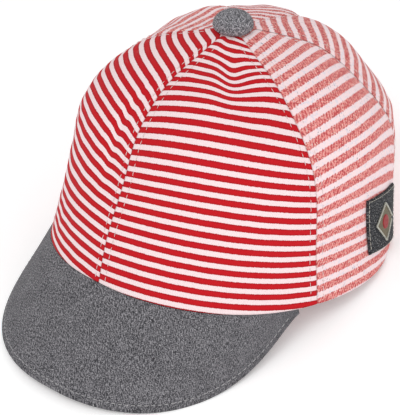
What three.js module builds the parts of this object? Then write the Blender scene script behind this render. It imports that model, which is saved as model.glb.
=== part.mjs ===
// A small child's soft cap: six sewn panels, a short curved peak, a covered top button and a side label.
// Millimetres, +Z up, the front towards -Y and the wearer's left towards +X.
// The cap is shaped with its rim level, then tipped back until it rests as it does on a table,
// on the two low corners of the peak and the back of the rim, where the cloth is pressed flat.

import * as THREE from "three";

// The crown's half width and reaches are measured at the outside of the rim
const HALF_WIDTH = 76;
const FRONT_REACH = 87.1;
const BACK_REACH = 71.7;
const CROWN_HEIGHT = 97;
const APEX_BACK = 1.8;
const RIM_SADDLE = 4.9;
const RIM_TILT = 1.4;
const WALL = 1.6;

// Seams, in degrees round from the front
const SIDE_SEAM = 74;
const BACK_SEAM = 128.2;
const SEAM_GAP = 0.3;

// The peak's angles: how far round the rim it is sewn, which way its ends point, and its two slopes
const PEAK_LENGTH = 50.6;
const PEAK_END_LENGTH = 2.4;
const PEAK_THICKNESS = 3;
const PEAK_SEAM_TAPER = 7;
const PEAK_HALF_ANGLE = 67.3;
const PEAK_SPREAD = 76.2;
const PEAK_SLOPE = 49.7;
const PEAK_END_SLOPE = 71.1;
const PEAK_ROUNDNESS = 2.69;
const PEAK_FULLNESS = 1.32;

const BUTTON_RADIUS = 8.5;
const BUTTON_HEIGHT = 8.2;
const BUTTON_EDGE = 4.2;
const STEM_RADIUS = 1.9;

// The label's front edge starts at an angle round from the front, and its other edges slant down to the back
const LABEL_START = 97.6;
const LABEL_SLANT = 12.5;
const LABEL_WIDTH = 32;
const LABEL_HEIGHT = 26;
const LABEL_THICKNESS = 1.2;
const LABEL_ABOVE_RIM = 11;

const CLEARANCE = 0.3;
const FOLD_DEPTH = 1.6;
const REST_PRESS = 0.8;

// Crown sections from the rim to the apex. up is the share of the way along the wall, height is a share of
// CROWN_HEIGHT, and side, front and back are shares of HALF_WIDTH, FRONT_REACH and BACK_REACH.
// puff is how far the middle of a panel swells past its seams, as a share of the radius.
const SECTIONS = [
  { up: 0, height: 0, side: 1, front: 1, back: 1, puff: 0.011 },
  { up: 0.2, height: 0.262, side: 0.941, front: 0.914, back: 1.072, puff: -0.01 },
  { up: 0.4, height: 0.508, side: 0.91, front: 0.812, back: 1.101, puff: 0.02 },
  { up: 0.6, height: 0.733, side: 0.774, front: 0.724, back: 0.881, puff: 0.075 },
  { up: 0.75, height: 0.891, side: 0.51, front: 0.518, back: 0.667, puff: 0.101 },
  { up: 0.88, height: 0.957, side: 0.242, front: 0.257, back: 0.372, puff: 0.058 },
  { up: 1, height: 1, side: 0, front: 0, back: 0, puff: 0 },
];

// Panels between their two seams, in degrees round from the front, the wearer's left positive
const PANELS = [
  { name: "front_panel_left", from: 0, to: SIDE_SEAM },
  { name: "side_panel_left", from: SIDE_SEAM, to: BACK_SEAM },
  { name: "back_panel_left", from: BACK_SEAM, to: 180 },
  { name: "front_panel_right", from: -SIDE_SEAM, to: 0 },
  { name: "side_panel_right", from: -BACK_SEAM, to: -SIDE_SEAM },
  { name: "back_panel_right", from: -180, to: -BACK_SEAM },
];

// Folds in the cloth. angle is in degrees round from the front and up is a share of the way up the wall, each
// with its half reach, and depth is a share of FOLD_DEPTH, inwards.
const FOLDS = [
  { angle: 52, up: 0.76, angleReach: 18, upReach: 0.16, depth: 1 },
  { angle: 31, up: 0.74, angleReach: 15, upReach: 0.16, depth: -0.6 },
  { angle: -9, up: 0.5, angleReach: 9, upReach: 0.24, depth: 0.7 },
  { angle: -90, up: 0.62, angleReach: 17, upReach: 0.22, depth: 1.8 },
  { angle: -122, up: 0.76, angleReach: 22, upReach: 0.16, depth: -1.3 },
  { angle: 151, up: 0.52, angleReach: 18, upReach: 0.16, depth: 0.8 },
];

const PANEL_COLUMNS = 12;
const PANEL_ROWS = 16;
const PEAK_COLUMNS = 36;
const PEAK_ROWS = 6;
const EDGE_STEPS = 4;
const BUTTON_SIDES = 24;
const BUTTON_STEPS = 4;
const LABEL_COLUMNS = 8;
const LABEL_ROWS = 4;

const MATERIALS = {
  stripe: new THREE.MeshStandardMaterial({ color: "#d4373f", roughness: 0.9, metalness: 0 }),
  paleStripe: new THREE.MeshStandardMaterial({ color: "#eba7a4", roughness: 0.9, metalness: 0 }),
  chambray: new THREE.MeshStandardMaterial({ color: "#60636b", roughness: 0.85, metalness: 0 }),
  label: new THREE.MeshStandardMaterial({ color: "#3c3f45", roughness: 0.85, metalness: 0 }),
};

// A cubic spline through one column of the section table, free at the rim and free or level at the apex
function sectionSpline(column, levelAtApex = false) {
  const x = SECTIONS.map((row) => row.up);
  const y = SECTIONS.map((row) => row[column]);
  const last = x.length - 1;
  const span = (i) => x[i + 1] - x[i];
  const slope = (i) => (y[i + 1] - y[i]) / span(i);
  const diagonal = [1];
  const bend = [0];
  for (let i = 1; i < last; i++) {
    const factor = (i === 1 ? 0 : span(i - 1)) / diagonal[i - 1];
    diagonal[i] = 2 * (span(i - 1) + span(i)) - factor * (i === 1 ? 0 : span(i - 1));
    bend[i] = 6 * (slope(i) - slope(i - 1)) - factor * bend[i - 1];
  }
  const endFactor = span(last - 1) / diagonal[last - 1];
  bend[last] = levelAtApex
    ? (-6 * slope(last - 1) - endFactor * bend[last - 1]) / (span(last - 1) * (2 - endFactor))
    : 0;
  for (let i = last - 1; i > 0; i--) {
    bend[i] = (bend[i] - span(i) * bend[i + 1]) / diagonal[i];
  }
  return (up) => {
    const i = Math.min(last - 1, Math.max(0, x.findLastIndex((value) => value <= up)));
    const a = (x[i + 1] - up) / span(i);
    const b = 1 - a;
    const cubic = (a ** 3 - a) * bend[i] + (b ** 3 - b) * bend[i + 1];
    return a * y[i] + b * y[i + 1] + (cubic * span(i) ** 2) / 6;
  };
}

const crownSide = sectionSpline("side");
const crownFront = sectionSpline("front");
const crownBack = sectionSpline("back");
const crownPuff = sectionSpline("puff");
const crownRise = sectionSpline("height", true);

// The smooth crown, before its panels swell: angle in degrees round from the front, up from 0 to 1
function smoothCrown(angle, up) {
  const turn = THREE.MathUtils.degToRad(angle);
  const rise = crownRise(up);
  const reach = Math.cos(turn) > 0 ? FRONT_REACH * crownFront(up) : BACK_REACH * crownBack(up);
  const rimWave = RIM_SADDLE * Math.cos(2 * turn) + RIM_TILT * Math.cos(turn);
  return new THREE.Vector3(
    HALF_WIDTH * crownSide(up) * Math.sin(turn),
    APEX_BACK * rise - reach * Math.cos(turn),
    CROWN_HEIGHT * rise + rimWave * (1 - rise) ** 2,
  );
}

function normalOf(surface, u, v, stepU, stepV) {
  const alongU = surface(u + stepU, v).sub(surface(u - stepU, v));
  const alongV = surface(u, v + stepV).sub(surface(u, v - stepV));
  return alongU.cross(alongV).normalize();
}

function crownNormal(angle, up) {
  const inside = THREE.MathUtils.clamp(up, 0.001, 0.995);
  return normalOf(smoothCrown, angle, inside, 0.5, 0.001);
}

function panelAt(angle) {
  return PANELS.find((panel) => angle >= panel.from && angle <= panel.to);
}

function foldDepth(angle, up) {
  let depth = 0;
  for (const fold of FOLDS) {
    const away = ((angle - fold.angle) / fold.angleReach) ** 2 + ((up - fold.up) / fold.upReach) ** 2;
    depth += away < 1 ? FOLD_DEPTH * fold.depth * (1 - away) ** 2 : 0;
  }
  return depth;
}

// The outside of the cloth, with its swelling panels and folds, and lift beyond it along the crown's normal
function crownPoint(angle, up, lift = 0) {
  const panel = panelAt(angle);
  const across = (angle - panel.from) / (panel.to - panel.from);
  const swell = 1 - crownPuff(up) * ((2 * across - 1) ** 2 - 1 / 3);
  const point = smoothCrown(angle, up);
  point.x *= swell;
  point.y *= swell;
  return point.addScaledVector(crownNormal(angle, up), lift - foldDepth(angle, up));
}

// How far up the wall a measure of the crown's point, which grows towards the apex, reaches a value
function upWhere(angle, measure, value) {
  let low = 0;
  let high = 1;
  for (let i = 0; i < 40; i++) {
    const middle = (low + high) / 2;
    if (measure(crownPoint(angle, middle)) < value) low = middle;
    else high = middle;
  }
  return (low + high) / 2;
}

function upAtRadius(angle, radius) {
  return upWhere(angle, (point) => -Math.hypot(point.x, point.y - APEX_BACK), -radius);
}

function upAtHeight(angle, height) {
  return upWhere(angle, (point) => point.z, height);
}

// A closed body between two sheets of the same grid. outer and inner give a point for column and row shares.
function closedSheets(outer, inner, columns, rows) {
  const positions = [];
  const indices = [];
  const stride = rows + 1;
  const layer = (columns + 1) * stride;
  for (const sheet of [outer, inner]) {
    for (let i = 0; i <= columns; i++) {
      for (let j = 0; j <= rows; j++) positions.push(...sheet(i / columns, j / rows));
    }
  }
  const quad = (a, b, c, d) => indices.push(a, b, c, a, c, d);
  const at = (i, j) => i * stride + j;
  for (let i = 0; i < columns; i++) {
    for (let j = 0; j < rows; j++) {
      quad(at(i, j), at(i + 1, j), at(i + 1, j + 1), at(i, j + 1));
      quad(layer + at(i, j), layer + at(i, j + 1), layer + at(i + 1, j + 1), layer + at(i + 1, j));
    }
    quad(at(i, 0), layer + at(i, 0), layer + at(i + 1, 0), at(i + 1, 0));
    quad(at(i + 1, rows), layer + at(i + 1, rows), layer + at(i, rows), at(i, rows));
  }
  for (let j = 0; j < rows; j++) {
    quad(at(0, j + 1), layer + at(0, j + 1), layer + at(0, j), at(0, j));
    quad(at(columns, j), layer + at(columns, j), layer + at(columns, j + 1), at(columns, j + 1));
  }
  return bodyFrom(positions, indices);
}

// A closed body through rings of points, each end closed by a fan on its ring's middle
function closedRings(rings) {
  const positions = rings.flat().flatMap((point) => [...point]);
  const indices = [];
  const size = rings[0].length;
  for (let i = 0; i + 1 < rings.length; i++) {
    for (let j = 0; j < size; j++) {
      const next = (j + 1) % size;
      const a = i * size + j;
      const b = i * size + next;
      indices.push(a, b, b + size, a, b + size, a + size);
    }
  }
  for (const [ring, forward] of [[0, false], [rings.length - 1, true]]) {
    const middle = new THREE.Vector3();
    rings[ring].forEach((point) => middle.addScaledVector(point, 1 / size));
    const hub = positions.length / 3;
    positions.push(...middle);
    for (let j = 0; j < size; j++) {
      const a = ring * size + j;
      const b = ring * size + ((j + 1) % size);
      indices.push(hub, forward ? a : b, forward ? b : a);
    }
  }
  return bodyFrom(positions, indices);
}

function bodyFrom(positions, indices) {
  const geometry = new THREE.BufferGeometry();
  geometry.setAttribute("position", new THREE.Float32BufferAttribute(positions, 3));
  geometry.setIndex(indices);
  return geometry;
}

// A panel stops short of its seams by half the gap, and at the hole round the button's stem
function panelGeometry(panel) {
  const holeRadius = STEM_RADIUS + CLEARANCE;
  const place = (across, upShare) => {
    const guess = panel.from + across * (panel.to - panel.from);
    const up = upShare * upAtRadius(guess, holeRadius);
    const radius = Math.hypot(...smoothCrown(guess, up).toArray().slice(0, 2));
    const margin = THREE.MathUtils.radToDeg(SEAM_GAP / 2 / radius);
    return [panel.from + margin + across * (panel.to - panel.from - 2 * margin), up];
  };
  const outer = (across, upShare) => crownPoint(...place(across, upShare));
  const inner = (across, upShare) => crownPoint(...place(across, upShare), -WALL);
  return closedSheets(outer, inner, PANEL_COLUMNS, PANEL_ROWS);
}

// The peak hangs from the rim: side runs from -1 at the wearer's right end to 1 at the left one
function peakLength(side) {
  const outline = (1 - Math.abs(side) ** PEAK_ROUNDNESS) ** PEAK_FULLNESS;
  return PEAK_END_LENGTH + (PEAK_LENGTH - PEAK_END_LENGTH) * outline;
}

function peakTop(side, distance) {
  const heading = THREE.MathUtils.degToRad(PEAK_SPREAD * side);
  const slope = THREE.MathUtils.degToRad(PEAK_SLOPE + (PEAK_END_SLOPE - PEAK_SLOPE) * side ** 2);
  const run = new THREE.Vector3(
    Math.cos(slope) * Math.sin(heading),
    -Math.cos(slope) * Math.cos(heading),
    -Math.sin(slope),
  );
  const angle = side * PEAK_HALF_ANGLE;
  const rim = crownPoint(angle, 0);
  const wallRun = rim.clone().sub(crownPoint(angle, 0.01)).normalize();
  return rim.addScaledVector(wallRun, CLEARANCE).addScaledVector(run, distance);
}

// One ring round the peak's section: out along the top, round the edge and back along the underside
function peakRing(side) {
  const length = peakLength(side);
  const fullShare = Math.sqrt(length / PEAK_LENGTH);
  const thickest = WALL + (PEAK_THICKNESS - WALL) * fullShare;
  const wallNormal = crownNormal(side * PEAK_HALF_ANGLE, 0);
  const thicknessAt = (distance) => {
    const share = THREE.MathUtils.smoothstep(distance, 0, Math.min(PEAK_SEAM_TAPER, length));
    const normal = normalOf(peakTop, side, distance, 0.001, 0.1).negate();
    return normal.lerp(wallNormal, 1 - share).normalize().multiplyScalar(WALL + (thickest - WALL) * share);
  };
  const flatLength = length - thickest / 2;
  const top = [];
  const under = [];
  for (let i = 0; i <= PEAK_ROWS; i++) {
    const distance = (flatLength * i) / PEAK_ROWS;
    top.push(peakTop(side, distance));
    under.unshift(peakTop(side, distance).sub(thicknessAt(distance)));
  }
  const through = thicknessAt(flatLength).multiplyScalar(0.5);
  const centre = peakTop(side, flatLength).sub(through);
  const outwards = peakTop(side, length).sub(peakTop(side, flatLength));
  const edge = [];
  for (let i = 1; i < EDGE_STEPS; i++) {
    const turn = (Math.PI * i) / EDGE_STEPS;
    const point = centre.clone().addScaledVector(outwards, Math.sin(turn));
    edge.push(point.addScaledVector(through, Math.cos(turn)));
  }
  return [...top, ...edge, ...under];
}

function peakGeometry() {
  const rings = [];
  for (let i = 0; i <= PEAK_COLUMNS; i++) rings.push(peakRing((2 * i) / PEAK_COLUMNS - 1));
  return closedRings(rings);
}

// The button's rings lie on the crown round the apex, each at its own radius and height above the cloth
function buttonRing(radius, lift) {
  const ring = [];
  for (let i = 0; i < BUTTON_SIDES; i++) {
    const angle = (360 * i) / BUTTON_SIDES - 180;
    ring.push(crownPoint(angle, upAtRadius(angle, radius), CLEARANCE + lift));
  }
  return ring;
}

function stemRing(height) {
  const ring = [];
  for (let i = 0; i < BUTTON_SIDES; i++) {
    const turn = THREE.MathUtils.degToRad((360 * i) / BUTTON_SIDES - 180);
    ring.push(new THREE.Vector3(STEM_RADIUS * Math.sin(turn), APEX_BACK - STEM_RADIUS * Math.cos(turn), height));
  }
  return ring;
}

function buttonGeometry() {
  const apex = crownPoint(0, 1).z;
  const rings = [stemRing(apex - WALL), stemRing(apex + CLEARANCE / 2)];
  rings.push(buttonRing(BUTTON_RADIUS / 2, 0), buttonRing(BUTTON_RADIUS - BUTTON_EDGE / 2, 0));
  for (let i = 0; i < BUTTON_STEPS; i++) {
    const turn = (Math.PI / 2) * (i / BUTTON_STEPS);
    const radius = BUTTON_RADIUS * Math.cos(turn);
    rings.push(buttonRing(radius, BUTTON_EDGE / 2 + (BUTTON_HEIGHT - BUTTON_EDGE / 2) * Math.sin(turn)));
  }
  return closedRings(rings);
}

// The label lies on the wearer's left side panel, slanting down towards the back
function labelGeometry() {
  const corner = crownPoint(LABEL_START, 0);
  const widthAngle = THREE.MathUtils.radToDeg(LABEL_WIDTH / Math.hypot(corner.x, corner.y));
  const fall = LABEL_WIDTH * Math.tan(THREE.MathUtils.degToRad(LABEL_SLANT));
  const sheet = (lift) => (across, share) => {
    const angle = LABEL_START + across * widthAngle;
    const height = corner.z + LABEL_ABOVE_RIM + share * LABEL_HEIGHT - across * fall;
    return crownPoint(angle, upAtHeight(angle, height), lift);
  };
  return closedSheets(sheet(CLEARANCE + LABEL_THICKNESS), sheet(CLEARANCE), LABEL_COLUMNS, LABEL_ROWS);
}

// How far the front tips up when the empty cap is put down, so that the peak and the crown's rim reach the
// table together
function restPitch(peak, panels) {
  const lowest = (meshes, pitch) => {
    const box = new THREE.Box3();
    const tilt = new THREE.Matrix4().makeRotationX(-pitch);
    for (const mesh of meshes) {
      const position = mesh.geometry.getAttribute("position").clone().applyMatrix4(tilt);
      box.union(new THREE.Box3().setFromBufferAttribute(position));
    }
    return box.min.z;
  };
  let low = 0;
  let high = Math.PI / 4;
  for (let i = 0; i < 30; i++) {
    const middle = (low + high) / 2;
    if (lowest([peak], middle) < lowest(panels, middle)) low = middle;
    else high = middle;
  }
  return (low + high) / 2;
}

// Tips every piece by the same pitch, centres the cap on the origin and presses its lowest cloth flat
function restOnTable(group, pitch) {
  for (const mesh of group.children) mesh.geometry.rotateX(-pitch);
  const box = new THREE.Box3().setFromObject(group);
  const centre = box.getCenter(new THREE.Vector3());
  for (const mesh of group.children) {
    mesh.geometry.translate(-centre.x, -centre.y, -box.min.z - REST_PRESS);
    const position = mesh.geometry.getAttribute("position");
    for (let i = 0; i < position.count; i++) position.setZ(i, Math.max(0, position.getZ(i)));
    mesh.geometry.computeVertexNormals();
  }
}

function pieceOf(name, geometry, material) {
  const mesh = new THREE.Mesh(geometry, material);
  mesh.name = name;
  return mesh;
}

const panels = PANELS.map((panel) => {
  const material = panel.name.startsWith("front") ? MATERIALS.stripe : MATERIALS.paleStripe;
  return pieceOf(panel.name, panelGeometry(panel), material);
});
const peak = pieceOf("peak", peakGeometry(), MATERIALS.chambray);
const button = pieceOf("top_button", buttonGeometry(), MATERIALS.chambray);
const label = pieceOf("side_label", labelGeometry(), MATERIALS.label);

const cap = new THREE.Group();
cap.add(...panels, peak, button, label);
restOnTable(cap, restPitch(peak, panels));

export default cap;
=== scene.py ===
"""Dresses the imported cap: its panels, peak, button and label, with their stitches and fabrics.

It also sets up the floor, the light and the camera.
"""

import bpy
import numpy as np
from mathutils import Matrix, Vector


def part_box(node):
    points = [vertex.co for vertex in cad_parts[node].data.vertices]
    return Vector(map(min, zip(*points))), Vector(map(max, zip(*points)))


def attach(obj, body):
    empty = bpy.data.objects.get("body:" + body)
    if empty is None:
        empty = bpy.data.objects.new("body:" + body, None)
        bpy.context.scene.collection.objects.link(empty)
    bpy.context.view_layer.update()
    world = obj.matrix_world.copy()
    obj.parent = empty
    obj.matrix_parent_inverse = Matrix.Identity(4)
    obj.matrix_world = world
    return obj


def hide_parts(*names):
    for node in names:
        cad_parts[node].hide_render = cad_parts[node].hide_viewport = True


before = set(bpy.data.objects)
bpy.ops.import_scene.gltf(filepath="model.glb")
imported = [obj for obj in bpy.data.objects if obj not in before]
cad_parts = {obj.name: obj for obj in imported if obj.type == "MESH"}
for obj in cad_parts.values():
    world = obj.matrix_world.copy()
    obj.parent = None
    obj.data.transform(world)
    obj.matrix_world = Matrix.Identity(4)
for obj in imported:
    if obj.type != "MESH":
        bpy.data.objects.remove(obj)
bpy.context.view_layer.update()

MM = 0.001

# The cap's named sizes, in millimetres and degrees, as its solids have them
HALF_WIDTH = 76
FRONT_REACH = 87.1
BACK_REACH = 71.7
CROWN_HEIGHT = 97
APEX_BACK = 1.8
RIM_SADDLE = 4.9
RIM_TILT = 1.4
WALL = 1.6
SIDE_SEAM = 74
BACK_SEAM = 128.2
CLEARANCE = 0.3
FOLD_DEPTH = 1.6
REST_PRESS = 0.8

PEAK_LENGTH = 50.6
PEAK_END_LENGTH = 2.4
PEAK_THICKNESS = 3
PEAK_SEAM_TAPER = 7
PEAK_HALF_ANGLE = 67.3
PEAK_SPREAD = 76.2
PEAK_SLOPE = 49.7
PEAK_END_SLOPE = 71.1
PEAK_ROUNDNESS = 2.69
PEAK_FULLNESS = 1.32

BUTTON_RADIUS = 8.5
BUTTON_HEIGHT = 8.2
BUTTON_EDGE = 4.2
STEM_RADIUS = 1.9

LABEL_START = 97.6
LABEL_SLANT = 12.5
LABEL_WIDTH = 32
LABEL_HEIGHT = 26
LABEL_THICKNESS = 1.2
LABEL_ABOVE_RIM = 11

# Crown sections from the rim to the apex, as shares of the named sizes
SECTIONS = [
    {"up": 0, "height": 0, "side": 1, "front": 1, "back": 1, "puff": 0.011},
    {"up": 0.2, "height": 0.262, "side": 0.941, "front": 0.914, "back": 1.072, "puff": -0.01},
    {"up": 0.4, "height": 0.508, "side": 0.91, "front": 0.812, "back": 1.101, "puff": 0.02},
    {"up": 0.6, "height": 0.733, "side": 0.774, "front": 0.724, "back": 0.881, "puff": 0.075},
    {"up": 0.75, "height": 0.891, "side": 0.51, "front": 0.518, "back": 0.667, "puff": 0.101},
    {"up": 0.88, "height": 0.957, "side": 0.242, "front": 0.257, "back": 0.372, "puff": 0.058},
    {"up": 1, "height": 1, "side": 0, "front": 0, "back": 0, "puff": 0},
]

# Folds in the cloth, each at its angle and share of the way up, with its half reaches and depth inwards
FOLDS = [
    {"angle": 52, "up": 0.76, "angle_reach": 18, "up_reach": 0.16, "depth": 1},
    {"angle": 31, "up": 0.74, "angle_reach": 15, "up_reach": 0.16, "depth": -0.6},
    {"angle": -9, "up": 0.5, "angle_reach": 9, "up_reach": 0.24, "depth": 0.7},
    {"angle": -90, "up": 0.62, "angle_reach": 17, "up_reach": 0.22, "depth": 1.8},
    {"angle": -122, "up": 0.76, "angle_reach": 22, "up_reach": 0.16, "depth": -1.3},
    {"angle": 151, "up": 0.52, "angle_reach": 18, "up_reach": 0.16, "depth": 0.8},
]

# The crown's panels, each from one seam to the next. A turn of -1 mirrors the cut.
PANELS = [
    {"name": "front_panel_left", "from": 0, "to": SIDE_SEAM, "cut": "front_left", "turn": 1},
    {"name": "side_panel_left", "from": SIDE_SEAM, "to": BACK_SEAM, "cut": "side", "turn": 1},
    {"name": "back_panel_left", "from": BACK_SEAM, "to": 180, "cut": "back", "turn": 1},
    {"name": "front_panel_right", "from": -SIDE_SEAM, "to": 0, "cut": "front_right", "turn": 1},
    {"name": "side_panel_right", "from": -BACK_SEAM, "to": -SIDE_SEAM, "cut": "side", "turn": -1},
    {"name": "back_panel_right", "from": -180, "to": -BACK_SEAM, "cut": "back", "turn": -1},
]

# Each cut's cloth and material slot, and how its stripes run, in millimetres. A red stripe is centred where
# the length of cloth up from the rim, plus the row's ease, its tilt across and its bow towards both seams,
# is start + n * period. A swing bends the stripes once more between SWING_START and the cut's first seam.
CUTS = {
    "front_left": {
        "cloth": "striped_jersey",
        "slot": "front_jersey",
        "period": 5.13,
        "start": 4.1,
        "rows": [
            {"up": 0, "bow": 2.2, "tilt": 1.2, "ease": 0},
            {"up": 0.2, "bow": 3.1, "tilt": 1.7, "ease": 0.6},
            {"up": 0.4, "bow": 5.3, "tilt": 1, "ease": 0.3},
            {"up": 0.6, "bow": 6.4, "tilt": 0.1, "ease": -0.9},
            {"up": 0.75, "bow": 5.4, "tilt": -1.7, "ease": -2.6},
            {"up": 0.88, "bow": 4.8, "tilt": 1, "ease": -1.5},
            {"up": 1, "bow": 4, "tilt": 0, "ease": 0},
        ],
    },
    "front_right": {
        "cloth": "striped_jersey",
        "slot": "front_jersey",
        "period": 4.97,
        "start": 0.4,
        "rows": [
            {"up": 0, "bow": 2, "tilt": 3.1, "ease": 4.3, "swing": 0.6},
            {"up": 0.2, "bow": 3.5, "tilt": -1.5, "ease": 7.4, "swing": -15},
            {"up": 0.4, "bow": 2.4, "tilt": 5.8, "ease": 3.1, "swing": 11.5},
            {"up": 0.6, "bow": 10.4, "tilt": 1.5, "ease": 0.7, "swing": -7.3},
            {"up": 0.75, "bow": 6.7, "tilt": 3.3, "ease": 0.9, "swing": 0.4},
            {"up": 0.88, "bow": 5.9, "tilt": 2.4, "ease": -0.4, "swing": 0},
            {"up": 1, "bow": 2.8, "tilt": 2.3, "ease": 0, "swing": 0},
        ],
    },
    "side": {
        "cloth": "flecked_jersey",
        "slot": "flecked_jersey",
        "period": 6.11,
        "start": 4.8,
        "rows": [
            {"up": 0, "bow": 6.2, "tilt": 5.4, "ease": 3.4},
            {"up": 0.2, "bow": 5.6, "tilt": 8.1, "ease": 6.7},
            {"up": 0.4, "bow": 6.9, "tilt": 3.9, "ease": 2.7},
            {"up": 0.6, "bow": 6.9, "tilt": 2.3, "ease": 0.9},
            {"up": 0.75, "bow": 7.2, "tilt": 2.2, "ease": -0.5},
            {"up": 0.88, "bow": 6.2, "tilt": 0.7, "ease": -0.9},
            {"up": 1, "bow": 3.2, "tilt": 0, "ease": 0},
        ],
    },
    "back": {
        "cloth": "back_jersey",
        "slot": "flecked_jersey",
        "period": 5.9,
        "start": 0.3,
        "rows": [
            {"up": 0, "bow": 5, "tilt": 0, "ease": 0},
            {"up": 0.2, "bow": 5, "tilt": 1, "ease": 0},
            {"up": 0.4, "bow": 6, "tilt": 3, "ease": 0},
            {"up": 0.6, "bow": 8.5, "tilt": 7, "ease": 0},
            {"up": 0.75, "bow": 8, "tilt": 6.5, "ease": 0},
            {"up": 0.88, "bow": 5, "tilt": 3.5, "ease": 0},
            {"up": 1, "bow": 3, "tilt": 1, "ease": 0},
        ],
    },
}
SWING_START = -0.3

# Creases pull the stripes towards the rim. Each has its place, its half reaches and its depth in millimetres,
# and the cloth sinks there by a share of that depth.
CREASES = [
    {"angle": 45.3, "up": 0.82, "angle_reach": 10.4, "up_reach": 0.07, "depth": 3.5},
    {"angle": -10, "up": 0.54, "angle_reach": 2.4, "up_reach": 0.16, "depth": 1.5},
    {"angle": -50, "up": 0.565, "angle_reach": 6, "up_reach": 0.06, "depth": 0.9},
]
CREASE_SINK = 0.22

# The cloth rolls down into each seam
SEAM_GAP = 0.02
SEAM_ROLL = 0.22
SEAM_ROLL_REACH = 0.7

# Divisions of a panel's grid, round the crown and up it
PANEL_COLUMNS = 110
PANEL_ROWS = 150

# Small ripples in the cloth: broad waves everywhere and short puckers between a seam and its stitches
WAVE_SEED = 12
WAVE_COUNT = 8
WAVE_HEIGHT = 0.14
WAVE_SHORTEST = 9
WAVE_LONGEST = 26
WAVE_FADE = 5
PUCKER_HEIGHT = 0.13
PUCKER_LENGTH = 4.1
PUCKER_MIDDLE = 1.7
PUCKER_REACH = 1.5
PUCKER_STOP = 8
PUCKER_FULL = 20

# Steps that a surface's slope is measured over, how near the apex it is measured, and how often a search
# halves its range
ANGLE_STEP = 0.5
UP_STEP = 0.001
HIGHEST_NORMAL = 0.995
PEAK_SIDE_STEP = 0.001
PEAK_RUN_STEP = 0.1
WALL_RUN_STEP = 0.01
HALVINGS = 30


def spline(rows, column, level_at_end=False):
    """A cubic spline up through one column of a table, free at its ends or level at the last."""
    x = np.array([row["up"] for row in rows], float)
    y = np.array([row[column] for row in rows], float)
    span = np.diff(x)
    slope = np.diff(y) / span
    count = len(x)
    matrix = np.eye(count)
    right = np.zeros(count)
    for i in range(1, count - 1):
        matrix[i, i - 1 : i + 2] = span[i - 1], 2 * (span[i - 1] + span[i]), span[i]
        right[i] = 6 * (slope[i] - slope[i - 1])
    if level_at_end:
        matrix[-1, -2:] = span[-1], 2 * span[-1]
        right[-1] = -6 * slope[-1]
    bend = np.linalg.solve(matrix, right)

    def value(up):
        i = np.clip(np.searchsorted(x, up, side="right") - 1, 0, count - 2)
        a = (x[i + 1] - up) / span[i]
        b = 1 - a
        return a * y[i] + b * y[i + 1] + ((a**3 - a) * bend[i] + (b**3 - b) * bend[i + 1]) * span[i] ** 2 / 6

    return value


crown_side = spline(SECTIONS, "side")
crown_front = spline(SECTIONS, "front")
crown_back = spline(SECTIONS, "back")
crown_puff = spline(SECTIONS, "puff")
crown_rise = spline(SECTIONS, "height", True)


def unit(vectors):
    """The vectors' directions, each one long."""
    return vectors / np.linalg.norm(vectors, axis=-1, keepdims=True)


def smooth_crown(angle, up):
    """The smooth crown before its panels swell: angle in degrees round from the front, up from 0 to 1."""
    angle, up = np.broadcast_arrays(np.asarray(angle, float), np.asarray(up, float))
    turn = np.radians(angle)
    rise = crown_rise(up)
    reach = np.where(np.cos(turn) > 0, FRONT_REACH * crown_front(up), BACK_REACH * crown_back(up))
    wave = RIM_SADDLE * np.cos(2 * turn) + RIM_TILT * np.cos(turn)
    x = HALF_WIDTH * crown_side(up) * np.sin(turn)
    y = APEX_BACK * rise - reach * np.cos(turn)
    z = CROWN_HEIGHT * rise + wave * (1 - rise) ** 2
    return np.stack([x, y, z], -1)


def normal_of(surface, u, v, step_u, step_v):
    """The direction square to a surface, from points a step either side."""
    along_u = surface(u + step_u, v) - surface(u - step_u, v)
    along_v = surface(u, v + step_v) - surface(u, v - step_v)
    return unit(np.cross(along_u, along_v))


def crown_normal(angle, up):
    return normal_of(smooth_crown, angle, np.clip(up, UP_STEP, HIGHEST_NORMAL), ANGLE_STEP, UP_STEP)


def panel_share(angle):
    """How far across its panel an angle lies, from -1 at one seam to 1 at the next."""
    seams = np.array([-180, -BACK_SEAM, -SIDE_SEAM, 0, SIDE_SEAM, BACK_SEAM, 180], float)
    i = np.clip(np.searchsorted(seams, angle, side="right") - 1, 0, len(seams) - 2)
    return 2 * (angle - seams[i]) / (seams[i + 1] - seams[i]) - 1


def away_from(spot, angle, up):
    """How far a place lies from a fold or crease, squared, where 1 is the end of its half reaches."""
    around = (angle - spot["angle"]) / spot["angle_reach"]
    upwards = (up - spot["up"]) / spot["up_reach"]
    return around**2 + upwards**2


def fold_depth(angle, up):
    depth = 0
    for fold in FOLDS:
        share = np.clip(1 - away_from(fold, angle, up), 0, None) ** 2
        depth = depth + FOLD_DEPTH * fold["depth"] * share
    return depth


def crown_point(angle, up, lift=0.0):
    """The outside of the cloth, with its swell and folds, lifted off along the crown's normal."""
    angle, up = np.broadcast_arrays(np.asarray(angle, float), np.asarray(up, float))
    swell = 1 - crown_puff(up) * (panel_share(angle) ** 2 - 1 / 3)
    point = smooth_crown(angle, up)
    point = point * np.stack([swell, swell, np.ones_like(swell)], -1)
    return point + crown_normal(angle, up) * np.expand_dims(lift - fold_depth(angle, up), -1)


def up_where(angle, measure, value):
    """How far up the wall a measure of the crown's points, which grows towards the apex, reaches a value."""
    low = np.zeros_like(angle)
    high = np.ones_like(angle)
    for _ in range(HALVINGS):
        middle = (low + high) / 2
        below = measure(crown_point(angle, middle)) < value
        low = np.where(below, middle, low)
        high = np.where(below, high, middle)
    return (low + high) / 2


def up_at_radius(angle, radius):
    return up_where(angle, lambda p: -np.hypot(p[..., 0], p[..., 1] - APEX_BACK), -radius)


def up_at_height(angle, height):
    return up_where(angle, lambda p: p[..., 2], height)


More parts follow.
